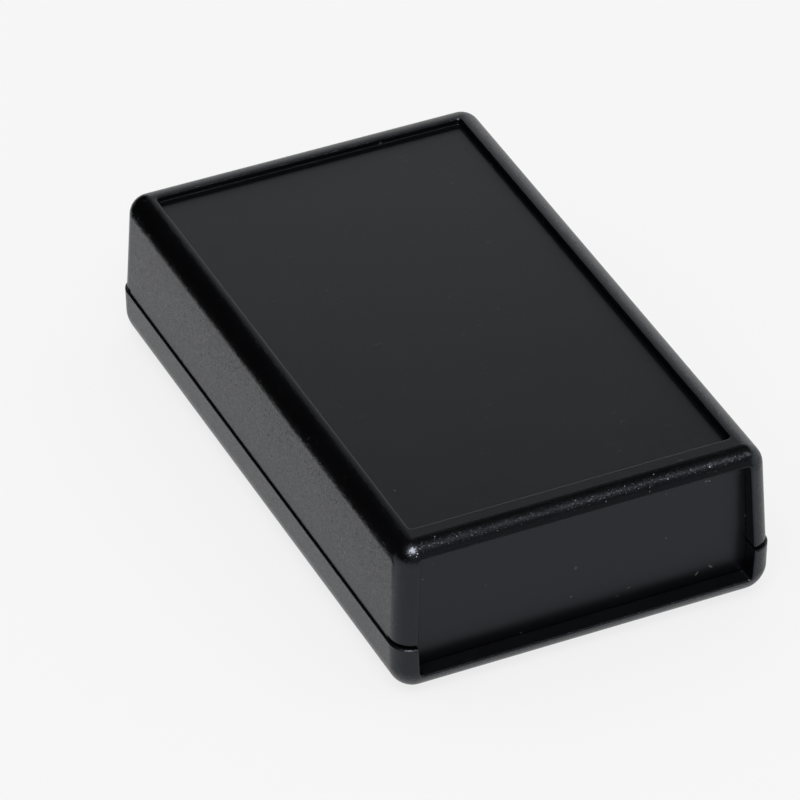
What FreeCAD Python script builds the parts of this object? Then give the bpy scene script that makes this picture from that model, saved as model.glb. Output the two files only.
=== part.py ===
"""A hand-held plastic project box: two moulded ABS shells, two end panels and four screws.

The base is a shallow tray with a large rounded edge, the cover a deeper one with a recessed top.
Both shells leave their end walls open, and a flat panel stands in slots behind each opening.
Four screws come up through the base into bosses in the cover, and the faces of those bosses,
which meet, set the fine gap that shows as the seam.
The origin is at the middle of the underside, +Y runs along the length and +Z points up.
"""
import FreeCAD, Part
import math
import os
import re

import Sketcher

# Driving sizes in millimetres and degrees, each with what it measures
SIZES = [
    ("case_width", 66.0, "outside width at the rim of the base"),
    ("case_length", 112.0, "outside length at the rim of the base"),
    ("case_height", 28.0, "outside height, underside to top face"),
    ("seam_height", 9.5, "height of the base's rim, where the bosses meet"),
    ("wall", 2.2, "side wall of both shells"),
    ("base_corner_radius", 3.7, "upright corners of the base"),
    ("base_draft", 1.0, "lean of the base's sides, in degrees"),
    ("bottom_edge_radius", 5.0, "round along the bottom of the base"),
    ("floor_thickness", 2.2, "floor of the base"),
    ("cover_setback", 0.3, "how far the cover's sides stand inside the base's rim"),
    ("cover_draft", 2.5, "lean of the cover's sides, in degrees"),
    ("cover_edge_radius", 3.5, "round along the upright and the upper edges of the cover"),
    ("roof_thickness", 2.2, "roof of the cover under the recess"),
    ("seam_gap", 0.25, "gap between the rim of the base and the cover's lower edge"),
    ("end_seam_gap", 0.7, "the same gap round the corners and end posts"),
    ("end_seam_reach", 4.6, "length of each end over which the wider gap runs"),
    ("rim_bevel", 0.15, "broken outer edge of the base's rim"),
    ("recess_depth", 1.1, "depth of the recess in the cover's top"),
    ("recess_side_land", 0.55, "flat rim from the recess to the rounded edge, at the sides"),
    ("recess_rear_land", 0.6, "the same rim at the rear"),
    ("recess_front_land", 2.2, "the same rim at the front, the widest"),
    ("recess_corner_radius", 0.6, "upright corners of the recess"),
    ("recess_edge_bevel", 0.2, "broken edge all round the top of the recess"),
    ("post_width", 3.6, "width of the end posts beside the opening, at the seam"),
    ("post_thickness", 3.3, "thickness of the end posts, front to back"),
    ("opening_draft", 2.5, "lean of the opening's sides, away from the seam, in degrees"),
    ("opening_head", 2.3, "depth of the opening's upper edge below the top face"),
    ("opening_head_radius", 0.5, "upper corners of the end opening"),
    ("lip_height", 3.8, "height of the lip under the end opening"),
    ("lip_corner_radius", 0.8, "lower corners of the end opening"),
    ("opening_edge_bevel", 0.2, "broken outer edge of the end opening"),
    ("panel_thickness", 1.5, "end panel"),
    ("panel_clearance", 0.1, "play of the panel in its slots, each way"),
    ("panel_foot_radius", 3.1, "lower corners of the end panel"),
    ("panel_head_radius", 0.8, "upper corners of the end panel"),
    ("slot_depth", 1.5, "depth of the panel's slot in the roof"),
    ("rib_thickness", 1.2, "rib behind the panel"),
    ("rib_reach", 3.2, "how far that rib stands in from the side walls"),
    ("floor_rib_height", 1.5, "height of that rib above the floor"),
    ("roof_rib_height", 1.0, "depth of that rib below the roof"),
    ("rib_drop", 0.3, "distance from the ribs' ends to the seam"),
    ("boss_side_inset", 8.6, "from each screw's middle to the side of the box"),
    ("boss_end_inset", 11.5, "from each screw's middle to the end of the box"),
    ("base_boss_diameter", 7.0, "screw boss in the base"),
    ("cover_boss_diameter", 6.4, "screw boss in the cover"),
    ("gusset_thickness", 1.2, "web from each boss to the side wall"),
    ("gusset_drop", 1.0, "distance from the webs' ends to the boss's face"),
    ("standoff_side_inset", 11.5, "from each circuit board post's middle to the side of the box"),
    ("standoff_end_inset", 26.0, "from each circuit board post's middle to the end of the box"),
    ("standoff_diameter", 5.0, "circuit board post"),
    ("standoff_height", 4.0, "circuit board post, above the floor"),
    ("standoff_bore", 2.3, "pilot bore of a circuit board post"),
    ("standoff_bore_depth", 4.8, "depth of that bore"),
    ("tongue_thickness", 0.9, "tongue along the rim of the base"),
    ("tongue_height", 1.4, "tongue above the rim"),
    ("tongue_clearance", 0.1, "play of the tongue in the cover's rebate"),
    ("tongue_end_gap", 1.0, "distance from the tongue's ends to the panel ribs"),
    ("tongue_lead", 0.25, "bevel that leads the tongue into the rebate"),
    ("screw_head_diameter", 5.5, "countersunk head"),
    ("screw_head_rim", 0.3, "straight rim of the head"),
    ("screw_crown_height", 0.25, "crown of the head above its rim"),
    ("screw_crown_flat", 4.9, "flat of the crown, round the cross recess"),
    ("screw_root_diameter", 2.3, "shank between the threads"),
    ("screw_length", 18.5, "from the head's rim to the tip"),
    ("screw_tip_length", 0.5, "tapered tip"),
    ("screw_tip_diameter", 1.7, "flat at the end of the tip"),
    ("cross_span", 3.0, "cross recess, tip to tip"),
    ("cross_width", 0.75, "cross recess, width of an arm"),
    ("cross_depth", 1.5, "cross recess, depth from the crown"),
    ("cross_draft", 8.0, "lean of the cross recess's sides, in degrees"),
    ("head_sink", 1.2, "depth of the head's rim in the underside"),
    ("head_clearance", 0.35, "play round the head in its counterbore"),
    ("seat_clearance", 0.05, "gap between the head's cone and its seat"),
    ("screw_hole_diameter", 3.2, "clearance hole in the base's boss"),
    ("pilot_clearance", 0.05, "gap round the shank in the cover's pilot bore"),
    ("pilot_overrun", 1.5, "depth of the pilot bore past the screw's tip"),
]

size = {name: value for name, value, _ in SIZES}

document = FreeCAD.newDocument("ProjectBox")
sheet = document.addObject("Spreadsheet::Sheet", "Sizes")
for row, (name, value, meaning) in enumerate(SIZES, start=1):
    sheet.set("A%d" % row, name.replace("_", " "))
    sheet.set("B%d" % row, str(value))
    sheet.set("C%d" % row, meaning)
    sheet.setAlias("B%d" % row, name)
document.recompute()

# Places worked out from the sizes, written as expressions
CEILING = "(case_height - recess_depth - roof_thickness)"
COVER_EDGE = "(seam_height + seam_gap)"
COVER_HALF_WIDTH = "(case_width / 2 - cover_setback)"
COVER_INSIDE = "(%s - wall)" % COVER_HALF_WIDTH
BASE_INSIDE = "(case_width / 2 - wall)"
SLOT_FRONT = "(case_length / 2 - post_thickness)"
SLOT_BACK = "(%s - panel_thickness - 2 * panel_clearance)" % SLOT_FRONT
SLOT_TOP = "(%s + slot_depth)" % CEILING
RIB_BACK = "(%s - rib_thickness)" % SLOT_BACK
COVER_LEAN = "((case_height - %s) * tan(cover_draft))" % COVER_EDGE
TOP_FLAT = "(cover_setback + %s + cover_edge_radius)" % COVER_LEAN
RECESS_HALF_WIDTH = "(case_width / 2 - %s - recess_side_land)" % TOP_FLAT
RECESS_REAR = "(case_length / 2 - %s - recess_rear_land)" % TOP_FLAT
RECESS_FRONT = "(case_length / 2 - %s - recess_front_land)" % TOP_FLAT
OPENING_HALF_WIDTH = "(case_width / 2 - post_width)"
BOSS_X = "(case_width / 2 - boss_side_inset)"
BOSS_Y = "(case_length / 2 - boss_end_inset)"
STANDOFF_X = "(case_width / 2 - standoff_side_inset)"
STANDOFF_Y = "(case_length / 2 - standoff_end_inset)"
HEAD_RIM_TOP = "(head_sink + screw_head_rim)"
PAST = 1.0


# Helpers
def linked(text):
    """Turn the names of sizes in an expression into links to the sheet's cells."""
    return re.sub(r"[a-z]+(?:_[a-z]+)*", lambda word: "Sizes." + word[0] if word[0] in size else word[0], text)


def bind(thing, target, expression):
    """Drive one property or constraint by an expression in the sizes."""
    thing.setExpression(target, linked(str(expression)))


def new_body(name):
    body = document.addObject("PartDesign::Body", name)
    body.Label = name
    return body


def plane(body, role):
    """One of the body's own origin planes."""
    return next(item for item in body.Origin.OriginFeatures if item.Role == role)


def new_sketch(body, name, role, x=None, y=None, offset=None):
    """A sketch on an origin plane, moved within it by x and y and off it by offset.

    On XZ_Plane the offset runs towards -Y, which is the front of the box.
    """
    sketch = body.newObject("Sketcher::SketchObject", name)
    sketch.AttachmentSupport = [(plane(body, role), "")]
    sketch.MapMode = "FlatFace"
    for axis, expression in (("x", x), ("y", y), ("z", offset)):
        if expression is not None:
            bind(sketch, "AttachmentOffset.Base." + axis, expression)
    return sketch


def dimension(sketch, kind, places, name, expression):
    """Add a dimension to the sketch and drive it by an expression."""
    index = sketch.addConstraint(Sketcher.Constraint(kind, *places, 1.0))
    sketch.renameConstraint(index, name)
    bind(sketch, "Constraints." + name, expression)


def outline(sketch, corners):
    """A closed outline of straight lines, each corner an (x, y) pair of expressions."""
    count = len(corners)
    ring = [math.tau * step / count for step in range(count)]
    starts = [FreeCAD.Vector(10 * math.cos(turn), 10 * math.sin(turn), 0) for turn in ring]
    first = sketch.GeometryCount
    for step in range(count):
        sketch.addGeometry(Part.LineSegment(starts[step], starts[(step + 1) % count]))
    for step, (x, y) in enumerate(corners):
        here = first + step
        sketch.addConstraint(Sketcher.Constraint("Coincident", here, 2, first + (step + 1) % count, 1))
        dimension(sketch, "DistanceX", (-1, 1, here, 1), "x%d" % here, x)
        dimension(sketch, "DistanceY", (-1, 1, here, 1), "y%d" % here, y)


def rectangle(sketch, left, right, low, high):
    outline(sketch, [(left, low), (right, low), (right, high), (left, high)])


def centred_rectangle(sketch, half_width, half_length):
    rectangle(sketch, "-" + half_width, half_width, "-" + half_length, half_length)


def circle(sketch, diameter):
    """A circle about the sketch's own origin."""
    sketch.addGeometry(Part.Circle(FreeCAD.Vector(0, 0, 0), FreeCAD.Vector(0, 0, 1), 1.0))
    sketch.addConstraint(Sketcher.Constraint("Coincident", 0, 3, -1, 1))
    dimension(sketch, "Diameter", (0,), "diameter", diameter)


def feature(body, kind, name, sketch, length=None, reverse=False, draft=None):
    """A pad, pocket, revolution or groove of the sketch."""
    made = body.newObject("PartDesign::" + kind, name)
    made.Profile = (sketch, [""])
    made.Reversed = reverse
    if kind in ("Revolution", "Groove"):
        made.ReferenceAxis = (sketch, ["V_Axis"])
        made.Angle = 360.0
    else:
        bind(made, "Length", length)
    if draft is not None:
        bind(made, "TaperAngle", draft)
    sketch.Visibility = False
    document.recompute()
    return made


def repeat(body, source, *roles):
    """Repeat a feature by mirroring it in each of the named origin planes in turn."""
    name = source.Name + "_repeated"
    made = body.newObject("PartDesign::MultiTransform", name)
    made.Originals = [source]
    mirrors = []
    for role in roles:
        mirror = body.newObject("PartDesign::Mirrored", "%s_%s" % (name, role[:2]))
        mirror.MirrorPlane = (plane(body, role), [""])
        mirrors.append(mirror)
    made.Transformations = mirrors
    body.Tip = made
    document.recompute()
    return made


def dressed(body, kind, name, test, amount):
    """Round or bevel every edge of the body that passes the test."""
    base = body.Tip
    chosen = ["Edge%d" % (index + 1) for index, edge in enumerate(base.Shape.Edges) if test(edge)]
    if not chosen:
        raise RuntimeError("no edge found for " + name)
    made = body.newObject("PartDesign::" + kind, name)
    made.Base = (base, chosen)
    bind(made, "Radius" if kind == "Fillet" else "Size", amount)
    document.recompute()
    return made


def drafted(body, name, sides, neutral, angle, reverse):
    """Lean the chosen side faces of the body about a level face that stays as it is."""
    base = body.Tip
    faces = list(enumerate(base.Shape.Faces, start=1))
    made = body.newObject("PartDesign::Draft", name)
    made.Base = (base, ["Face%d" % index for index, face in faces if sides(face)])
    made.NeutralPlane = (base, ["Face%d" % index for index, face in faces if neutral(face)][:1])
    made.Reversed = reverse
    bind(made, "Angle", angle)
    document.recompute()
    return made


def spans(edge):
    """The extent of an edge or face along X, Y and Z."""
    box = edge.BoundBox
    return box.XLength, box.YLength, box.ZLength


def middle(edge):
    """A point halfway along the edge."""
    return edge.valueAt((edge.FirstParameter + edge.LastParameter) / 2)


def near(a, b, within=0.02):
    return abs(a - b) < within


def at_height(edge, height):
    return near(edge.BoundBox.ZMin, height) and near(edge.BoundBox.ZMax, height)


def upright(face):
    """An outer side wall of a plain block."""
    return abs(face.normalAt(0, 0).z) < 0.5


def long_inside(face):
    """One of the two long walls of a hollow, before it is drafted."""
    across, along, up = spans(face)
    return across < 0.01 and along > size["case_length"] / 2 and up > 1


# Sizes that the choice of edges needs
half_width = size["case_width"] / 2
half_length = size["case_length"] / 2
ceiling = size["case_height"] - size["recess_depth"] - size["roof_thickness"]
slot_front = half_length - size["post_thickness"]
opening_top = size["case_height"] - size["opening_head"]
cover_edge = size["seam_height"] + size["seam_gap"]
cover_lean = (size["case_height"] - cover_edge) * math.tan(math.radians(size["cover_draft"]))
top_flat = size["cover_setback"] + cover_lean + size["cover_edge_radius"]


# Features that both shells share
def end_opening(body, far, near_seam):
    """Cut the end walls open between the posts, wider towards the seam."""
    sketch = new_sketch(body, body.Name + "_opening_sketch", "XZ_Plane", offset="case_length / 2 + %g" % PAST)
    slope = "tan(opening_draft)"
    at_far = "(%s - abs(%s - seam_height) * %s)" % (OPENING_HALF_WIDTH, far, slope)
    at_near = "(%s + abs(%s - seam_height) * %s)" % (OPENING_HALF_WIDTH, near_seam, slope)
    outline(sketch, [("-" + at_far, far), (at_far, far), (at_near, near_seam), ("-" + at_near, near_seam)])
    cut = feature(body, "Pocket", body.Name + "_opening", sketch, length="post_thickness + %g" % PAST)
    repeat(body, cut, "XZ_Plane")


def opening_rim(body, low, high):
    """Break the outer edges of the end opening between two heights."""
    def on_rim(edge):
        point = middle(edge)
        at_face = abs(point.y) > half_length - size["post_thickness"] / 2
        return at_face and abs(point.x) < half_width - size["post_width"] + 0.1 and low < point.z < high

    dressed(body, "Chamfer", body.Name + "_opening_rim", on_rim, "opening_edge_bevel")


def panel_rib(body, inside, seam_end, far_end, bar):
    """A rib behind the panel: two uprights on the side walls, joined by a low bar."""
    sketch = new_sketch(body, body.Name + "_rib_sketch", "XZ_Plane", offset=SLOT_BACK)
    root = "(%s + wall / 4)" % inside
    edge = "(%s - rib_reach)" % inside
    outline(sketch, [("-" + root, seam_end), ("-" + root, far_end), (root, far_end), (root, seam_end),
                     (edge, seam_end), (edge, bar), ("-" + edge, bar), ("-" + edge, seam_end)])
    rib = feature(body, "Pad", body.Name + "_rib", sketch, length="rib_thickness", reverse=True)
    repeat(body, rib, "XZ_Plane")


def screw_boss(body, diameter, low, high):
    """A boss at each screw."""
    sketch = new_sketch(body, body.Name + "_boss_sketch", "XY_Plane", x=BOSS_X, y=BOSS_Y, offset=low)
    circle(sketch, diameter)
    boss = feature(body, "Pad", body.Name + "_boss", sketch, length="%s - %s" % (high, low))
    repeat(body, boss, "YZ_Plane", "XZ_Plane")


def gusset(body, inside, low, high):
    """A web that ties each boss to the side wall beside it."""
    sketch = new_sketch(body, body.Name + "_gusset_sketch", "XY_Plane", offset=low)
    rectangle(sketch, BOSS_X, "%s + wall / 4" % inside,
              BOSS_Y + " - gusset_thickness / 2", BOSS_Y + " + gusset_thickness / 2")
    web = feature(body, "Pad", body.Name + "_gusset", sketch, length="%s - %s" % (high, low))
    repeat(body, web, "YZ_Plane", "XZ_Plane")


# Base: the shallow lower shell
def make_base():
    body = new_body("base")
    sketch = new_sketch(body, "base_outline", "XY_Plane", offset="seam_height")
    centred_rectangle(sketch, "case_width / 2", "case_length / 2")
    feature(body, "Pad", "base_block", sketch, length="seam_height", reverse=True)

    def rim_face(face):
        return at_height(face, size["seam_height"])

    drafted(body, "base_sides_draft", upright, rim_face, "base_draft", True)
    dressed(body, "Fillet", "base_bottom_round", lambda edge: at_height(edge, 0), "bottom_edge_radius")

    def stands_at_corner(edge):
        point = middle(edge)
        inset = size["bottom_edge_radius"] + 1
        outer = abs(point.x) > half_width - inset and abs(point.y) > half_length - inset
        return outer and spans(edge)[2] > 1

    dressed(body, "Fillet", "base_corners", stands_at_corner, "base_corner_radius")

    sketch = new_sketch(body, "base_inside", "XY_Plane", offset="seam_height")
    centred_rectangle(sketch, BASE_INSIDE, SLOT_FRONT)
    feature(body, "Pocket", "base_hollow", sketch, length="seam_height - floor_thickness")
    drafted(body, "base_hollow_draft", long_inside, rim_face, "base_draft", False)

    def long_floor_edge(edge):
        return at_height(edge, size["floor_thickness"]) and spans(edge)[1] > size["case_length"] / 2

    dressed(body, "Fillet", "base_floor_round", long_floor_edge, "bottom_edge_radius - wall")

    end_opening(body, "lip_height", "(seam_height + %g)" % PAST)

    def opening_low_corner(edge):
        point = middle(edge)
        return near(point.z, size["lip_height"], 0.05) and spans(edge)[0] < 0.01 and spans(edge)[1] > 1 \
            and abs(point.y) > slot_front

    dressed(body, "Fillet", "base_lip_corners", opening_low_corner, "lip_corner_radius")
    opening_rim(body, size["lip_height"] - 0.1, size["seam_height"] - 0.1)

    panel_rib(body, BASE_INSIDE, "(seam_height - rib_drop)", "floor_thickness",
              "(floor_thickness + floor_rib_height)")
    screw_boss(body, "base_boss_diameter", "floor_thickness / 2", "seam_height")
    gusset(body, BASE_INSIDE, "floor_thickness", "(seam_height - gusset_drop)")

    sketch = new_sketch(body, "screw_way", "XZ_Plane", x=BOSS_X, offset=BOSS_Y)
    counterbore = "(screw_head_diameter / 2 + head_clearance)"
    seat = "(screw_head_diameter / 2 + seat_clearance)"
    hole = "screw_hole_diameter / 2"
    outline(sketch, [("0", -PAST), (counterbore, -PAST),
                     (counterbore, "%s + %s - %s" % (HEAD_RIM_TOP, seat, counterbore)),
                     (hole, "%s + %s - %s" % (HEAD_RIM_TOP, seat, hole)),
                     (hole, "seam_height + %g" % PAST), ("0", "seam_height + %g" % PAST)])
    way = feature(body, "Groove", "screw_ways", sketch)
    repeat(body, way, "YZ_Plane", "XZ_Plane")

    sketch = new_sketch(body, "standoff_outline", "XY_Plane", x=STANDOFF_X, y=STANDOFF_Y,
                        offset="floor_thickness / 2")
    circle(sketch, "standoff_diameter")
    post = feature(body, "Pad", "standoff", sketch, length="floor_thickness / 2 + standoff_height")
    repeat(body, post, "YZ_Plane", "XZ_Plane")
    sketch = new_sketch(body, "standoff_bore_outline", "XY_Plane", x=STANDOFF_X, y=STANDOFF_Y,
                        offset="floor_thickness + standoff_height")
    circle(sketch, "standoff_bore")
    bore = feature(body, "Pocket", "standoff_bore_cut", sketch, length="standoff_bore_depth")
    repeat(body, bore, "YZ_Plane", "XZ_Plane")

    sketch = new_sketch(body, "tongue_outline", "XY_Plane", offset="seam_height - wall / 2")
    end = "(%s - tongue_end_gap)" % RIB_BACK
    rectangle(sketch, BASE_INSIDE, BASE_INSIDE + " + tongue_thickness", "-" + end, end)
    tongue = feature(body, "Pad", "tongue", sketch, length="wall / 2 + tongue_height")
    repeat(body, tongue, "YZ_Plane")

    def tongue_lead_edge(edge):
        point = middle(edge)
        outer_face = half_width - size["wall"] + size["tongue_thickness"]
        return at_height(edge, size["seam_height"] + size["tongue_height"]) and near(abs(point.x), outer_face)

    dressed(body, "Chamfer", "tongue_lead_in", tongue_lead_edge, "tongue_lead")

    def outer_rim(edge):
        point = middle(edge)
        to_corner = math.hypot(half_width - abs(point.x), half_length - abs(point.y))
        corner = to_corner < size["base_corner_radius"] * 0.6
        side = near(abs(point.x), half_width) or near(abs(point.y), half_length)
        return at_height(edge, size["seam_height"]) and (side or corner)

    dressed(body, "Chamfer", "base_rim_bevel", outer_rim, "rim_bevel")
    return body


# Cover: the deep upper shell with the recessed top
def make_cover():
    body = new_body("cover")
    sketch = new_sketch(body, "cover_outline", "XY_Plane", offset=COVER_EDGE)
    centred_rectangle(sketch, COVER_HALF_WIDTH, "(case_length / 2 - cover_setback)")
    feature(body, "Pad", "cover_block", sketch, length="case_height - " + COVER_EDGE)

    def lower_face(face):
        return at_height(face, cover_edge)

    drafted(body, "cover_sides_draft", upright, lower_face, "cover_draft", False)

    dressed(body, "Fillet", "cover_edges", lambda edge: not at_height(edge, cover_edge), "cover_edge_radius")

    sketch = new_sketch(body, "cover_inside", "XY_Plane", offset=COVER_EDGE)
    centred_rectangle(sketch, COVER_INSIDE, SLOT_FRONT)
    feature(body, "Pocket", "cover_hollow", sketch, length="%s - %s" % (CEILING, COVER_EDGE), reverse=True)
    drafted(body, "cover_hollow_draft", long_inside, lower_face, "cover_draft", True)

    def long_ceiling_edge(edge):
        return at_height(edge, ceiling) and spans(edge)[1] > size["case_length"] / 2

    dressed(body, "Fillet", "cover_roof_round", long_ceiling_edge, "cover_edge_radius - wall")

    sketch = new_sketch(body, "recess_outline", "XY_Plane", offset="case_height")
    rectangle(sketch, "-" + RECESS_HALF_WIDTH, RECESS_HALF_WIDTH, "-" + RECESS_FRONT, RECESS_REAR)
    feature(body, "Pocket", "recess", sketch, length="recess_depth")

    def recess_corner(edge):
        return near(spans(edge)[2], size["recess_depth"]) and edge.BoundBox.ZMax > size["case_height"] - 0.01

    dressed(body, "Fillet", "recess_corners", recess_corner, "recess_corner_radius")

    def recess_edge(edge):
        point = middle(edge)
        across = abs(point.x) < half_width - top_flat - size["recess_side_land"] + 0.01
        along = abs(point.y) < half_length - top_flat - size["recess_rear_land"] + 0.01
        return at_height(edge, size["case_height"]) and across and along

    dressed(body, "Chamfer", "recess_upper_edge", recess_edge, "recess_edge_bevel")

    end_opening(body, "(case_height - opening_head)", "(%s - %g)" % (COVER_EDGE, PAST))

    def opening_high_corner(edge):
        point = middle(edge)
        return near(point.z, opening_top, 0.05) and spans(edge)[0] < 0.01 and spans(edge)[1] > 1 \
            and abs(point.y) > slot_front

    dressed(body, "Fillet", "cover_opening_corners", opening_high_corner, "opening_head_radius")
    opening_rim(body, cover_edge + 0.1, opening_top + 0.1)

    sketch = new_sketch(body, "panel_slot_outline", "XY_Plane", offset=COVER_EDGE)
    slot_half = "(%s - (%s - %s) * tan(cover_draft))" % (COVER_INSIDE, CEILING, COVER_EDGE)
    rectangle(sketch, "-" + slot_half, slot_half, SLOT_BACK, SLOT_FRONT)
    slot = feature(body, "Pocket", "panel_slot", sketch, length="%s - %s" % (SLOT_TOP, COVER_EDGE), reverse=True)
    repeat(body, slot, "XZ_Plane")

    panel_rib(body, COVER_INSIDE, "(%s + rib_drop)" % COVER_EDGE, "(%s + roof_thickness / 2)" % CEILING,
              "(%s - roof_rib_height)" % CEILING)
    boss_top = "(%s + roof_thickness / 2)" % CEILING
    screw_boss(body, "cover_boss_diameter", "seam_height", boss_top)
    gusset(body, COVER_INSIDE, "(seam_height + gusset_drop)", boss_top)

    sketch = new_sketch(body, "pilot_outline", "XY_Plane", x=BOSS_X, y=BOSS_Y, offset="seam_height")
    circle(sketch, "screw_root_diameter + 2 * pilot_clearance")
    pilot_bore = feature(body, "Pocket", "pilot_bores", sketch, reverse=True,
                         length="head_sink + screw_length + pilot_overrun - seam_height")
    repeat(body, pilot_bore, "YZ_Plane", "XZ_Plane")

    sketch = new_sketch(body, "rebate_outline", "XY_Plane", offset=COVER_EDGE + " - %g" % PAST)
    end = "(%s - tongue_end_gap + tongue_clearance)" % RIB_BACK
    rectangle(sketch, COVER_INSIDE + " - %g" % PAST, BASE_INSIDE + " + tongue_thickness + tongue_clearance",
              "-" + end, end)
    rebate = feature(body, "Pocket", "rebate", sketch, reverse=True,
                     length="tongue_height + tongue_clearance - seam_gap + %g" % PAST)
    repeat(body, rebate, "YZ_Plane")

    sketch = new_sketch(body, "end_gap_outline", "XY_Plane", offset=COVER_EDGE + " - %g" % PAST)
    rectangle(sketch, "-case_width / 2 - %g" % PAST, "case_width / 2 + %g" % PAST,
              "case_length / 2 - end_seam_reach", "case_length / 2 + %g" % PAST)
    gap = feature(body, "Pocket", "end_gap", sketch, length="end_seam_gap - seam_gap + %g" % PAST, reverse=True)
    repeat(body, gap, "XZ_Plane")
    return body


# End panels: flat plates, widest at the seam, that drop into the slots
def make_panel(name, turn):
    body = new_body(name)
    back = "(%s - panel_clearance - panel_thickness)" % SLOT_FRONT
    sketch = new_sketch(body, name + "_outline", "XZ_Plane", offset=back)
    foot = "(floor_thickness + panel_clearance)"
    head = "(%s - panel_clearance)" % SLOT_TOP
    widest = "(%s - panel_clearance)" % COVER_INSIDE
    foot_half = "(%s - (seam_height - %s) * tan(base_draft))" % (widest, foot)
    head_half = "(%s - (%s - seam_height) * tan(cover_draft))" % (widest, head)
    outline(sketch, [("-" + foot_half, foot), (foot_half, foot), (widest, "seam_height"), (head_half, head),
                     ("-" + head_half, head), ("-" + widest, "seam_height")])
    feature(body, "Pad", name + "_plate", sketch, length="panel_thickness")
    low = size["floor_thickness"] + size["panel_clearance"]
    high = ceiling + size["slot_depth"] - size["panel_clearance"]

    def corner_at(height):
        return lambda edge: near(middle(edge).z, height) and spans(edge)[0] < 0.01 and spans(edge)[2] < 0.01

    dressed(body, "Fillet", name + "_foot_corners", corner_at(low), "panel_foot_radius")
    dressed(body, "Fillet", name + "_head_corners", corner_at(high), "panel_head_radius")
    body.Placement = FreeCAD.Placement(FreeCAD.Vector(0, 0, 0), FreeCAD.Rotation(FreeCAD.Vector(0, 0, 1), turn))
    return body


# Screws: countersunk, with a crowned head and a cross recess, driven up from beneath
def make_screw(name, side, end):
    body = new_body(name)
    sketch = new_sketch(body, name + "_profile", "XZ_Plane")
    head = "screw_head_diameter / 2"
    root = "screw_root_diameter / 2"
    tip = "screw_tip_diameter / 2"
    outline(sketch, [("0", "-screw_crown_height"), ("screw_crown_flat / 2", "-screw_crown_height"), (head, "0"),
                     (head, "screw_head_rim"), (root, "screw_head_rim + %s - %s" % (head, root)),
                     (root, "screw_length - screw_tip_length"), (tip, "screw_length"), ("0", "screw_length")])
    feature(body, "Revolution", name + "_turned", sketch)

    sketch = new_sketch(body, name + "_cross_outline", "XY_Plane", offset="-screw_crown_height")
    arm = "cross_span / 2"
    half = "cross_width / 2"
    outline(sketch, [(arm, "-" + half), (arm, half), (half, half), (half, arm), ("-" + half, arm),
                     ("-" + half, half), ("-" + arm, half), ("-" + arm, "-" + half), ("-" + half, "-" + half),
                     ("-" + half, "-" + arm), (half, "-" + arm), (half, "-" + half)])
    feature(body, "Pocket", name + "_cross", sketch, length="cross_depth", reverse=True, draft="-cross_draft")
    bind(body, "Placement.Base.x", "%d * %s" % (side, BOSS_X))
    bind(body, "Placement.Base.y", "%d * %s" % (end, BOSS_Y))
    bind(body, "Placement.Base.z", "head_sink")
    document.recompute()
    return body


cover = make_cover()
base = make_base()
front_panel = make_panel("front_panel", 0)
rear_panel = make_panel("rear_panel", 180)
screws = [make_screw("screw_%s_%s" % (end_name, side_name), side, end)
          for end_name, end in (("front", -1), ("rear", 1))
          for side_name, side in (("left", -1), ("right", 1))]
nodes = [cover, base, front_panel, rear_panel] + screws
document.recompute()

# Check the model, then write each piece to its file
for item in document.Objects:
    if "Invalid" in item.State or "Error" in item.State:
        raise RuntimeError("%s failed: %s" % (item.Name, item.State))
for node in nodes:
    if node.Shape.isNull() or not node.Shape.isValid() or len(node.Shape.Solids) != 1:
        raise RuntimeError(node.Label + " is not one valid solid")

os.makedirs("parts", exist_ok=True)
for node in nodes:
    node.Shape.exportStep("parts/%s.step" % node.Label)
    box = node.Shape.BoundBox
    print("%-20s %9.1f mm3  x %7.2f %7.2f  y %7.2f %7.2f  z %6.2f %6.2f" % (
        node.Label, node.Shape.Volume, box.XMin, box.XMax, box.YMin, box.YMax, box.ZMin, box.ZMax))
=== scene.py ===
# %% [markdown]
# A hand-held project box in black ABS, photographed on a white sweep. Its two shells, two end panels
# and four screws come ready-made from the imported CAD frame, so this file only dresses them: it gives
# them their plastics and their steel, winds a thread round each screw, and sets up the camera, the
# floor and the light. Each cell does one step, and the note before it says why it is done that way.

# %% Load the frame
import math

import bpy
from mathutils import Matrix, Vector


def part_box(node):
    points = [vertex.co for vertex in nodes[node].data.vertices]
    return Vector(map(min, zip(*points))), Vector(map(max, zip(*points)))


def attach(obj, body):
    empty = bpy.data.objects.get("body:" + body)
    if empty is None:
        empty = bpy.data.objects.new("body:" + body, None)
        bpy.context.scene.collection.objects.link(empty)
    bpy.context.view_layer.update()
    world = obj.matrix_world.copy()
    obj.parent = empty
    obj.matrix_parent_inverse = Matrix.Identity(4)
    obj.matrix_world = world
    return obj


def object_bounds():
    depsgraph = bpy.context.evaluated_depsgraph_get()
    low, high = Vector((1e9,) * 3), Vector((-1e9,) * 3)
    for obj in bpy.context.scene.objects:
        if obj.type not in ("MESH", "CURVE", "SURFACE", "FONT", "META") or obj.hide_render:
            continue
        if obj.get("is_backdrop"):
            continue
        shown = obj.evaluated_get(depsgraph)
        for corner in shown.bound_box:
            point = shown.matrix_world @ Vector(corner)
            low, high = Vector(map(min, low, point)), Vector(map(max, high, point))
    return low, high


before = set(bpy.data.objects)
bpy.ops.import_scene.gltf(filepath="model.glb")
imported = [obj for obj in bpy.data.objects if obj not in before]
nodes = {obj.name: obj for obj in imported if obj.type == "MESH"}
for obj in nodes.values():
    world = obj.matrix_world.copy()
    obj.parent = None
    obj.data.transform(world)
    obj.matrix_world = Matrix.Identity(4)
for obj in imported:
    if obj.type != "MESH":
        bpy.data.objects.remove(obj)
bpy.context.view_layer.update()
print("frame:", sorted(nodes))

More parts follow.
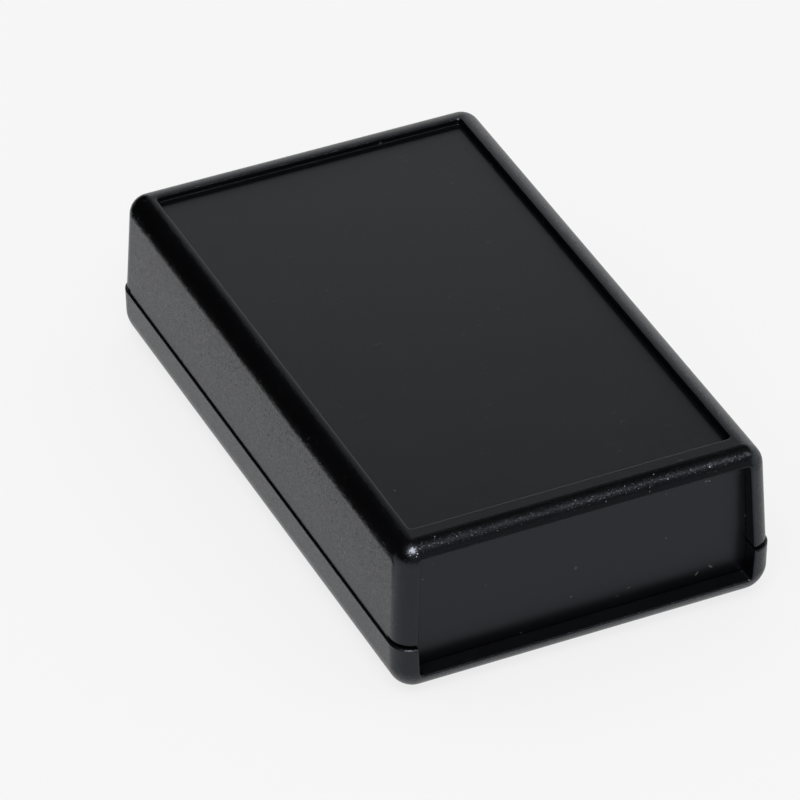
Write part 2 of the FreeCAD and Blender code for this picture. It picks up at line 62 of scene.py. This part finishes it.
# %% [markdown]
# A box of this size is best thought of in millimetres, while Blender counts in metres. One factor
# turns one into the other. Colours are written as sRGB hex, as a colour picker shows them, and one
# function turns them into the linear light that shaders take. Its numbers are the sRGB standard's.

# %% Millimetres and colours
MM = 0.001


def linear(code):
    """An sRGB hex colour as the linear colour, with an alpha of 1, that a shader takes."""
    channels = [int(code[i:i + 2], 16) / 255 for i in (1, 3, 5)]
    return [c / 12.92 if c <= 0.04045 else ((c + 0.055) / 1.055) ** 2.4 for c in channels] + [1.0]


print("#808080 in linear light:", [round(c, 3) for c in linear("#808080")])

# %% [markdown]
# A material is a tree of nodes. To add a node, set its values and link its inputs takes many lines
# by hand, so one helper does all three. An input is named as in Blender, with _ for each space, or
# by its number, as i0 or i1, where a node has two inputs of one name.

# %% Node helper
def add(tree, kind, settings=None, **inputs):
    """Add a node. An input takes a number, a colour, a socket, or a node for its first output."""
    node = tree.nodes.new("ShaderNode" + kind)
    for name, value in (settings or {}).items():
        setattr(node, name, value)
    for name, value in inputs.items():
        key = int(name[1:]) if name[0] == "i" and name[1:].isdigit() else name.replace("_", " ")
        socket = node.inputs[key]
        if isinstance(value, bpy.types.Node):
            value = value.outputs[0]
        if isinstance(value, bpy.types.NodeSocket):
            tree.links.new(value, socket)
        else:
            socket.default_value = value
    return node


def new_material(name):
    """A material and its empty tree."""
    material = bpy.data.materials.new(name)
    material.use_nodes = True
    material.node_tree.nodes.clear()
    return material, material.node_tree


print("helpers ready")

# %% [markdown]
# Black plastic shows every speck of dust. Specks could be placed one by one, but there are many and
# none matters by itself. A Voronoi pattern splits the surface into cells about 2 mm wide and gives
# each cell a random colour. That colour picks the few cells that hold a speck, and its size.

# %% Dust
TIMES = {"operation": "MULTIPLY"}
PLUS = {"operation": "ADD"}
BELOW = {"operation": "LESS_THAN"}
DUST_SPACING = 2.1 * MM
SPECK_LEAST = 0.02
SPECK_SPREAD = 0.035


def dust(tree, place, share):
    """A mask of specks. share is the part of the cells that hold one."""
    cells = add(tree, "TexVoronoi", {"feature": "F1"}, Vector=place, Scale=1 / DUST_SPACING,
                Randomness=1.0)
    draw = add(tree, "SeparateColor", Color=cells.outputs["Color"])
    chosen = add(tree, "Math", BELOW, i0=draw.outputs[0], i1=share)
    reach = add(tree, "Math", TIMES, i0=draw.outputs[1], i1=SPECK_SPREAD)
    reach = add(tree, "Math", PLUS, i0=reach, i1=SPECK_LEAST)
    dot = add(tree, "Math", BELOW, i0=cells.outputs["Distance"], i1=reach)
    return add(tree, "Math", TIMES, i0=chosen, i1=dot)


speck_widths = [2 * DUST_SPACING / MM * reach for reach in (SPECK_LEAST, SPECK_LEAST + SPECK_SPREAD)]
print("a speck is %.2f to %.2f mm wide" % tuple(speck_widths))

# %% [markdown]
# Scuffs are short, straight and fine, and lint is a short, curled fibre. Both are the same pattern:
# the cells are stretched into strokes that run one way, and a few of them are picked. For lint, a
# slow noise first bends the space that the strokes lie in, so they come out curled. A real fibre is
# some 0.02 mm thick and a scuff is finer still, so both are drawn wide enough to show.

# %% Scuffs and lint
LARGER = {"operation": "MAXIMUM"}
STROKE_CORE = 0.2
LINT_CURL = 1.6 * MM


def strokes(tree, place, turn, length, width, share):
    """A mask of short strokes. Their cells are length by width mm; share is the part that shows."""
    lain = add(tree, "Mapping", Vector=place, Rotation=turn,
               Scale=(1 / (length * MM), 1 / (width * MM), 1 / (length * MM)))
    cells = add(tree, "TexVoronoi", {"feature": "F1"}, Vector=lain, Scale=1.0, Randomness=1.0)
    draw = add(tree, "SeparateColor", Color=cells.outputs["Color"])
    chosen = add(tree, "Math", BELOW, i0=draw, i1=share)
    core = add(tree, "Math", BELOW, i0=cells.outputs["Distance"], i1=STROKE_CORE)
    return add(tree, "Math", TIMES, i0=chosen, i1=core)


def scuffs(tree, place):
    """Fine scratches in two directions."""
    along = strokes(tree, place, turn=(0.0, 0.0, 0.5), length=2.4, width=0.09, share=0.012)
    across = strokes(tree, place, turn=(0.4, 0.9, -0.7), length=1.6, width=0.08, share=0.012)
    return add(tree, "Math", LARGER, i0=along, i1=across)


def lint(tree, place):
    """Curled fibres in two directions."""
    wave = add(tree, "TexNoise", Vector=place, Scale=1 / LINT_CURL, Detail=1.0).outputs["Color"]
    curled = add(tree, "VectorMath", {"operation": "MULTIPLY_ADD"}, i0=wave, i1=(LINT_CURL,) * 3,
                 i2=place)
    along = strokes(tree, curled, turn=(0.3, 0.8, 0.2), length=3.2, width=0.36, share=0.012)
    across = strokes(tree, curled, turn=(1.1, -0.6, 0.4), length=2.4, width=0.32, share=0.008)
    return add(tree, "Math", LARGER, i0=along, i1=across)


print("lint curls over %.1f mm" % (LINT_CURL / MM))

# %% [markdown]
# The recess and the flat rim round it look almost smooth in the photograph, while the rolls and the
# walls are grained. Faces could be given separate materials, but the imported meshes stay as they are.
# The smooth faces look straight up and the grained ones do not, so the surface's own direction tells
# them apart, with a short fade between the two.

# %% Smooth faces
SMOOTH_STEP = {"interpolation_type": "SMOOTHSTEP"}
GRAIN_ENDS = 0.985
SMOOTH_STARTS = 0.998


def upward(tree):
    """A mask of the faces that look straight up."""
    facing = add(tree, "SeparateXYZ", Vector=add(tree, "NewGeometry").outputs["Normal"])
    return add(tree, "MapRange", SMOOTH_STEP, Value=facing.outputs[2], From_Min=GRAIN_ENDS,
               From_Max=SMOOTH_STARTS)


print("smooth within %.1f degrees of straight up" % math.degrees(math.acos(SMOOTH_STARTS)))

# %% [markdown]
# The mould of both shells is spark-eroded, which leaves an even grain of tiny facets. From afar it
# only looks matt, but where a lamp's reflection comes near, single facets catch it and glint. A bump
# map would give soft hills and no glints, so each cell of a Voronoi pattern leans by its own angle.
# Most lean very little and a few lean far: that comes from a high power of the random lean. The real
# grain is about 0.05 mm, too fine to show in the render, so it is drawn at 0.16 mm. The Bevel node
# also rounds the edges a little, as on any moulded piece.

# %% Grain
MINUS = {"operation": "SUBTRACT"}
GRAIN = 0.16 * MM
LEAN_POWER = 3.0
EDGE_RADIUS = 0.3 * MM
SMOOTHED = 0.88


def grained_normal(tree, place, smooth, glint):
    """The surface's direction with rounded edges and leaning facets; glint is how far they lean."""
    grained = add(tree, "Math", TIMES, i0=smooth, i1=SMOOTHED)
    grained = add(tree, "Math", MINUS, i0=1.0, i1=grained)
    facets = add(tree, "TexVoronoi", {"feature": "F1"}, Vector=place, Scale=1 / GRAIN, Randomness=1.0)
    tilt = add(tree, "VectorMath", MINUS, i0=facets.outputs["Color"], i1=(0.5, 0.5, 0.5))
    lean = add(tree, "VectorMath", {"operation": "LENGTH"}, i0=tilt).outputs["Value"]
    lean = add(tree, "Math", {"operation": "POWER"}, i0=lean, i1=LEAN_POWER)
    lean = add(tree, "Math", TIMES, i0=lean, i1=add(tree, "Math", TIMES, i0=grained, i1=glint))
    tilt = add(tree, "VectorMath", {"operation": "SCALE"}, i0=tilt, Scale=lean)
    rounded = add(tree, "Bevel", {"samples": 6}, Radius=EDGE_RADIUS)
    leaning = add(tree, "VectorMath", PLUS, i0=rounded, i1=tilt)
    return add(tree, "VectorMath", {"operation": "NORMALIZE"}, i0=leaning)


print("facets are drawn %.2f mm wide" % (GRAIN / MM))

# %% [markdown]
# ABS is a hard, glossy plastic, and black pigment leaves it almost no colour of its own: what the
# eye sees is gloss. So the base colour is nearly black, and the roughness and the surroundings make
# the look. The reflections in the photograph are slightly blue, which the tint of the gloss gives.
# Broad, faint clouds in the roughness keep large faces from looking too perfect, and the dust, the
# scuffs and the lint are laid over all.

# %% Moulded ABS
BLACK_ABS = "#030304"
DUST_GREY = "#8d8c86"
GLOSS_TINT = (0.80, 0.85, 0.98, 1.0)
CLOUD = 14 * MM
SPECK_SHADE = 0.42
SCUFF_SHADE = 0.10
SPECK_ROUGHNESS = 0.3
UPWARD_ROUGHNESS = 0.07


def moulded_abs(name, roughness, glint, dusty, gloss_index):
    """Black ABS. dusty is the share of the cells with a speck, and how strongly the lint shows."""
    material, tree = new_material(name)
    place = add(tree, "TexCoord").outputs["Object"]
    smooth = upward(tree)
    normal = grained_normal(tree, place, smooth, glint)

    specks = dust(tree, place, dusty)
    shade = add(tree, "Math", LARGER, i0=add(tree, "Math", TIMES, i0=specks, i1=SPECK_SHADE),
                i1=add(tree, "Math", TIMES, i0=scuffs(tree, place), i1=SCUFF_SHADE))
    shade = add(tree, "Math", LARGER, i0=shade,
                i1=add(tree, "Math", TIMES, i0=lint(tree, place), i1=dusty))
    tint = add(tree, "Mix", {"data_type": "RGBA"}, Factor=shade, i6=linear(BLACK_ABS),
               i7=linear(DUST_GREY))

    clouds = add(tree, "TexNoise", Vector=place, Scale=1 / CLOUD, Detail=4.0, Roughness=0.6)
    rough = add(tree, "MapRange", SMOOTH_STEP, Value=clouds.outputs["Fac"], From_Min=0.3,
                From_Max=0.7, To_Min=roughness - 0.01, To_Max=roughness + 0.015)
    for mask, more in ((specks, SPECK_ROUGHNESS), (smooth, UPWARD_ROUGHNESS)):
        rough = add(tree, "Math", PLUS, i0=rough, i1=add(tree, "Math", TIMES, i0=mask, i1=more))
    shader = add(tree, "BsdfPrincipled", Base_Color=tint.outputs[2], Roughness=rough, Normal=normal,
                 IOR=gloss_index, Specular_Tint=GLOSS_TINT)
    add(tree, "OutputMaterial", Surface=shader)
    return material


print("ABS of %s, with dust of %s" % (BLACK_ABS, DUST_GREY))

# %% [markdown]
# ABS has an IOR of about 1.53, and a moulded face a roughness of 0.2 to 0.4. Both start there and
# are matched to the photograph. The two shells come from one kind of mould and share their values.
# The end panels are plain and smooth, a little duller, and dustier, so their gloss is weaker.

# %% Shells and panels
abs_cover = moulded_abs("abs_cover_spark_eroded", roughness=0.25, glint=0.72, dusty=0.10,
                        gloss_index=1.50)
abs_base = moulded_abs("abs_base_spark_eroded", roughness=0.25, glint=0.72, dusty=0.10,
                       gloss_index=1.50)
abs_panel = moulded_abs("abs_panel_smooth", roughness=0.32, glint=0.04, dusty=0.30,
                        gloss_index=1.45)
for plastic in (abs_cover, abs_base, abs_panel):
    print(plastic.name, "has", len(plastic.node_tree.nodes), "nodes")

# %% [markdown]
# The screws are hardened steel with a black oxide from a hot bath, and are then oiled. The oxide is
# so thin that it still looks like metal: its colour is the colour of its reflections, a very dark
# grey. The oil lies unevenly, which shows as patches about a millimetre wide that are a little
# lighter and rougher than the rest.

# %% Blackened steel
OXIDE_DARK = "#1c1c1e"
OXIDE_LIGHT = "#3a393a"
OIL_PATCH = 0.9 * MM
OIL_DEPTH = 0.01 * MM


def blackened_steel(name):
    """Oiled black oxide on hardened steel."""
    material, tree = new_material(name)
    place = add(tree, "TexCoord").outputs["Object"]
    oil = add(tree, "TexNoise", Vector=place, Scale=1 / OIL_PATCH, Detail=3.0).outputs["Fac"]
    share = add(tree, "MapRange", SMOOTH_STEP, Value=oil, From_Min=0.35, From_Max=0.7)
    tint = add(tree, "Mix", {"data_type": "RGBA"}, Factor=share, i6=linear(OXIDE_DARK),
               i7=linear(OXIDE_LIGHT))
    rough = add(tree, "MapRange", SMOOTH_STEP, Value=oil, From_Min=0.3, From_Max=0.7, To_Min=0.24,
                To_Max=0.42)
    bump = add(tree, "Bump", Height=oil, Distance=OIL_DEPTH)
    shader = add(tree, "BsdfPrincipled", Base_Color=tint.outputs[2], Roughness=rough, Metallic=1.0,
                 Normal=bump)
    add(tree, "OutputMaterial", Surface=shader)
    return material


screw_steel = blackened_steel("steel_screw_black_oxide")
print(screw_steel.name, "has", len(screw_steel.node_tree.nodes), "nodes")

# %% [markdown]
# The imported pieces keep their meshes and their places. Only their materials are set here, each by
# the piece's own name: the four plastic pieces are listed, and all others are screws.

# %% Finishes
finishes = {"cover": abs_cover, "base": abs_base, "front_panel": abs_panel, "rear_panel": abs_panel}
for name, node in nodes.items():
    finish = finishes.get(name, screw_steel)
    node.data.materials.clear()
    node.data.materials.append(finish)
    print(name, "is", finish.name)

# %% [markdown]
# A self-tapping screw cuts its own way into the plastic with a sharp, coarse thread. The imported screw
# has only the shank, as wide as the thread's root. A real thread is rolled into the steel; here it is
# a thin ridge wound round the shank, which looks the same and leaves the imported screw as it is. A
# Screw modifier could wind it too, but would not fade its ends. So its triangular section is swept
# in mesh code, which takes few faces: eighteen steps for each turn.

# %% Thread ridge
THREAD_PITCH = 1.06 * MM
THREAD_OUTSIDE = 1.43 * MM
THREAD_ROOT = 1.1 * MM
THREAD_FOOT = 0.22 * MM
STEPS_PER_TURN = 18


def ridge_points(axis_x, axis_y, low, steps):
    """The corners of the ridge's section at each step, three by three."""
    points = []
    for step in range(steps + 1):
        angle = step / STEPS_PER_TURN * 2 * math.pi
        height = low + step / STEPS_PER_TURN * THREAD_PITCH
        fade = min(1.0, step / STEPS_PER_TURN, (steps - step) / STEPS_PER_TURN)
        crest = THREAD_ROOT + (THREAD_OUTSIDE - THREAD_ROOT) * fade
        for radius, shift in ((THREAD_ROOT, -THREAD_FOOT), (crest, 0.0), (THREAD_ROOT, THREAD_FOOT)):
            points.append((axis_x + radius * math.cos(angle), axis_y + radius * math.sin(angle),
                           height + shift))
    return points


def ridge_faces(steps):
    """The three sides of the ridge along its length, and its two ends."""
    faces = []
    for first in range(0, steps * 3, 3):
        for side, other in ((0, 1), (1, 2), (2, 0)):
            faces.append((first + side, first + 3 + side, first + 3 + other, first + other))
    last = steps * 3
    return faces + [(0, 1, 2), (last + 2, last + 1, last)]


print("thread of %.2f mm pitch, %.2f mm across" % (THREAD_PITCH / MM, 2 * THREAD_OUTSIDE / MM))

# %% [markdown]
# Each thread takes its axis and its height from the screw that it belongs to, so it follows if the
# packed screw moves. It starts above the point and stops below the head, as on the real screw, and
# it rides on the base, in which the screws stay when the cover is lifted off.

# %% Threads on the screws
THREAD_START = 3.0 * MM
THREAD_END = 0.7 * MM


def thread(name, axis_x, axis_y, low, high):
    """A helical ridge round an upright axis, from the height low to the height high."""
    steps = int((high - low) / THREAD_PITCH * STEPS_PER_TURN)
    mesh = bpy.data.meshes.new(name)
    mesh.from_pydata(ridge_points(axis_x, axis_y, low, steps), [], ridge_faces(steps))
    mesh.materials.append(screw_steel)
    ridge = bpy.data.objects.new(name, mesh)
    bpy.context.scene.collection.objects.link(ridge)
    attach(ridge, "base")
    return ridge


for name in [name for name in nodes if name.startswith("screw")]:
    low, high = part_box(name)
    ridge = thread(name.replace("screw", "thread"), (low[0] + high[0]) / 2, (low[1] + high[1]) / 2,
                   low[2] + THREAD_START, high[2] - THREAD_END)
    print(ridge.name, "has", len(ridge.data.polygons), "faces")

# %% [markdown]
# The camera stands where the photograph was taken from. It could be placed by eye, but the edges
# would never quite fall into place. A pinhole camera was fitted to about thirty edges and corners of
# the box instead. That gave its direction, its distance, the point that it looks at and its focal
# length in pixels. The distance matters as much as the direction, since it sets how far the box's
# edges run together.

# %% Camera
AZIMUTH = math.radians(-24.68)
ELEVATION = math.radians(36.22)
ROLL = math.radians(-0.29)
DISTANCE = 1071.97 * MM
TARGET = Vector((-7.05, -0.57, 14.0)) * MM
FOCAL_PIXELS = 6597.67
FRAME_PIXELS = 800
SENSOR = 36.0

back = Vector((math.sin(AZIMUTH) * math.cos(ELEVATION), -math.cos(AZIMUTH) * math.cos(ELEVATION),
               math.sin(ELEVATION)))
upright = (-back).to_track_quat("-Z", "Y")
camera = bpy.data.objects.new("camera", bpy.data.cameras.new("camera"))
bpy.context.scene.collection.objects.link(camera)
camera.data.sensor_width = SENSOR
camera.data.lens = FOCAL_PIXELS / FRAME_PIXELS * SENSOR
camera.data.clip_start = 0.1
camera.data.clip_end = 20.0
camera.rotation_mode = "QUATERNION"
camera.rotation_quaternion = upright @ Matrix.Rotation(ROLL, 3, "Z").to_quaternion()
camera.location = TARGET + back * DISTANCE
bpy.context.scene.camera = camera
print("camera %.2f m away, with a lens of %.0f mm" % (DISTANCE, camera.data.lens))

# %% [markdown]
# The box stands on a white sweep of paper that is almost evenly bright, so its shadow is faint. A
# floor made white by lamps alone would need so much light that the box turned grey. So this floor
# glows by itself, and a grey paper under the glow still takes the box's shadow. The gloss of the
# plastic sees the glow a little weaker than the camera does, since the paper was not as bright all
# round the box as it is in the picture. The floor lies a fiftieth of a millimetre low, so that it
# and the underside never share a plane.

# %% Floor
FLOOR_REACH = 12.0
FLOOR_LEVEL = -0.02 * MM
PAPER_GREY = "#5e5e5e"
WHITE = "#ffffff"


def studio_sheet(name, corners, material):
    """A flat rectangle that belongs to the studio, not to the box."""
    mesh = bpy.data.meshes.new(name)
    mesh.from_pydata(corners, [], [(0, 1, 2, 3)])
    mesh.materials.append(material)
    sheet = bpy.data.objects.new(name, mesh)
    bpy.context.scene.collection.objects.link(sheet)
    sheet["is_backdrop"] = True
    return sheet


def white_sweep(to_camera, to_gloss):
    """Paper that glows, by one strength to the camera and through glass, and by another to gloss."""
    material, tree = new_material("white_sweep")
    path = add(tree, "LightPath").outputs
    seen = add(tree, "Math", LARGER, i0=path["Is Camera Ray"], i1=path["Is Transmission Ray"])
    strength = add(tree, "MapRange", SMOOTH_STEP, Value=seen, To_Min=to_gloss, To_Max=to_camera)
    glow = add(tree, "Emission", Color=linear(WHITE), Strength=strength)
    paper = add(tree, "BsdfDiffuse", Color=linear(PAPER_GREY))
    add(tree, "OutputMaterial", Surface=add(tree, "AddShader", i0=glow, i1=paper))
    return material


sides = ((-1, -1), (1, -1), (1, 1), (-1, 1))
studio_sheet("floor", [(x * FLOOR_REACH, y * FLOOR_REACH, FLOOR_LEVEL) for x, y in sides],
             white_sweep(to_camera=0.785, to_gloss=0.60))
print("floor of %.0f m laid" % (2 * FLOOR_REACH))

# %% [markdown]
# Black gloss is lit by what it reflects, so the dark and bright things round the box matter more
# than the lamps. Photographers stand cards round a glossy object for this. Here a card is a flat
# sheet with its own brightness that only the gloss sees: it neither lights the box nor shades the
# floor, so it changes the reflections and nothing else.

# %% Cards
def card(name, corners, level):
    """A card that only gloss sees. level is its brightness, where 1 is white."""
    material, tree = new_material(name + "_paint")
    glow = add(tree, "Emission", Color=linear(WHITE), Strength=level)
    add(tree, "OutputMaterial", Surface=glow)
    placed = studio_sheet(name, corners, material)
    for ray in ("camera", "diffuse", "transmission", "volume_scatter", "shadow"):
        setattr(placed, "visible_" + ray, False)
    return placed


def standing_card(name, start, end, top, level, foot=0.0):
    """An upright card over the line from start to end."""
    return card(name, [(*start, foot), (*end, foot), (*end, top), (*start, top)], level)


print("cards ready")

# %% [markdown]
# In the photograph the rolls along the cover's top are black towards the left and the front and
# light towards the right and the back, and the recess is a dark grey. So the studio was dark on the
# left and above, and open to the right. The roof ends so that the recess just sees past it. A card
# close by on the left keeps the left roll black down to the flat of the wall, and its wing above the
# wall does the same for the corner.

# %% Dark cards
ROOF = 1.14
BACK_Y = 1.49
LEFT_X = -1.3
FRONT_Y = -1.5
RIGHT_X = 1.6
BACK_GAP_X = 0.34
NEAR_X = -0.056
NEAR_FRONT_Y = -0.035
NEAR_BACK_Y = 0.40
NEAR_TOP = 0.30
WING_Y = -0.075
WING_FOOT = 0.027

card("roof_card", [(LEFT_X, FRONT_Y, ROOF), (RIGHT_X, FRONT_Y, ROOF), (RIGHT_X, BACK_Y, ROOF),
                   (LEFT_X, BACK_Y, ROOF)], level=0.008)
standing_card("left_card", (LEFT_X, FRONT_Y), (LEFT_X, BACK_Y), ROOF, level=0.005)
standing_card("back_card", (LEFT_X, BACK_Y), (BACK_GAP_X, BACK_Y), ROOF, level=0.005)
standing_card("front_card", (LEFT_X, FRONT_Y), (RIGHT_X, FRONT_Y), ROOF, level=0.22)
standing_card("near_left_card", (NEAR_X, NEAR_FRONT_Y), (NEAR_X, NEAR_BACK_Y), NEAR_TOP, level=0.003)
standing_card("near_left_wing", (NEAR_X, WING_Y), (NEAR_X, NEAR_FRONT_Y), NEAR_TOP, level=0.003,
              foot=WING_FOOT)
print("dark cards placed, the roof %.2f m up" % ROOF)

# %% [markdown]
# Two bright fronts of lamps show in the gloss. The large one, at the front left, makes the spot on
# the cover's front left corner, and its outermost light catches the leaning facets along the front
# roll. The small one, at the front right, adds the glints on the right half of that roll. Their
# directions were worked out from where these lights lie on the box. Lamps could show in the gloss
# themselves, but then they would also light the box and its dust more than in the photograph.

# %% Lamp fronts
KEY_DIRECTION = (-0.19, -0.39, 0.90)
SIDE_DIRECTION = (0.52, -0.30, 0.80)
FRONT_DISTANCE = 0.95


def lamp_front(name, direction, size, level):
    """A square card in the given direction from the box, turned to face it."""
    towards = Vector(direction).normalized()
    across = towards.cross(Vector((0, 0, 1))).normalized() * size / 2
    along = across.cross(towards).normalized() * size / 2
    middle = towards * FRONT_DISTANCE
    return card(name, [middle - across - along, middle + across - along, middle + across + along,
                       middle - across + along], level)


lamp_front("key_front", KEY_DIRECTION, size=0.38, level=24.0)
lamp_front("side_front", SIDE_DIRECTION, size=0.10, level=22.0)
print("lamp fronts placed %.2f m from the box" % FRONT_DISTANCE)

# %% [markdown]
# One softbox stands where the large front is seen. Its light is weak, since the world does most of
# the work, and it only gives the shadow its direction. A large lamp makes the shadow's edge soft; a
# spot or a sun would draw it hard.

# %% Softbox
LAMP_DISTANCE = 1.1
LAMP_SIZE = 0.50
LAMP_WATTS = 4.0

light = bpy.data.lights.new("key_lamp", "AREA")
light.shape = "RECTANGLE"
light.size = LAMP_SIZE
light.size_y = LAMP_SIZE
light.energy = LAMP_WATTS
lamp = bpy.data.objects.new("key_lamp", light)
bpy.context.scene.collection.objects.link(lamp)
towards = Vector(KEY_DIRECTION).normalized()
lamp.location = towards * LAMP_DISTANCE
lamp.rotation_mode = "QUATERNION"
lamp.rotation_quaternion = (-towards).to_track_quat("-Z", "Y")
print("softbox of %.1f m and %.0f W" % (LAMP_SIZE, LAMP_WATTS))

# %% [markdown]
# The rest of the light is a plain white world at a strength of 1, at which a colour renders about as
# it is written. A picture of a real studio could light the box too, but its reflections would not be
# the photograph's. The view transform is Standard, which leaves the written colours as they are.

# %% World and view
world = bpy.data.worlds.new("studio")
bpy.context.scene.world = world
world.use_nodes = True
world.node_tree.nodes.clear()
sky = add(world.node_tree, "Background", Color=linear(WHITE), Strength=1.0)
add(world.node_tree, "OutputWorld", Surface=sky)
bpy.context.scene.view_settings.view_transform = "Standard"
print("world:", world.name, "- view transform:", bpy.context.scene.view_settings.view_transform)

# %% [markdown]
# Dressing the box must not change its size. So the box is measured at the end, and its dressed
# size is printed.

# %% Finish
low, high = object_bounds()
print("dressed box in mm:", [round((top - bottom) / MM, 2) for bottom, top in zip(low, high)])
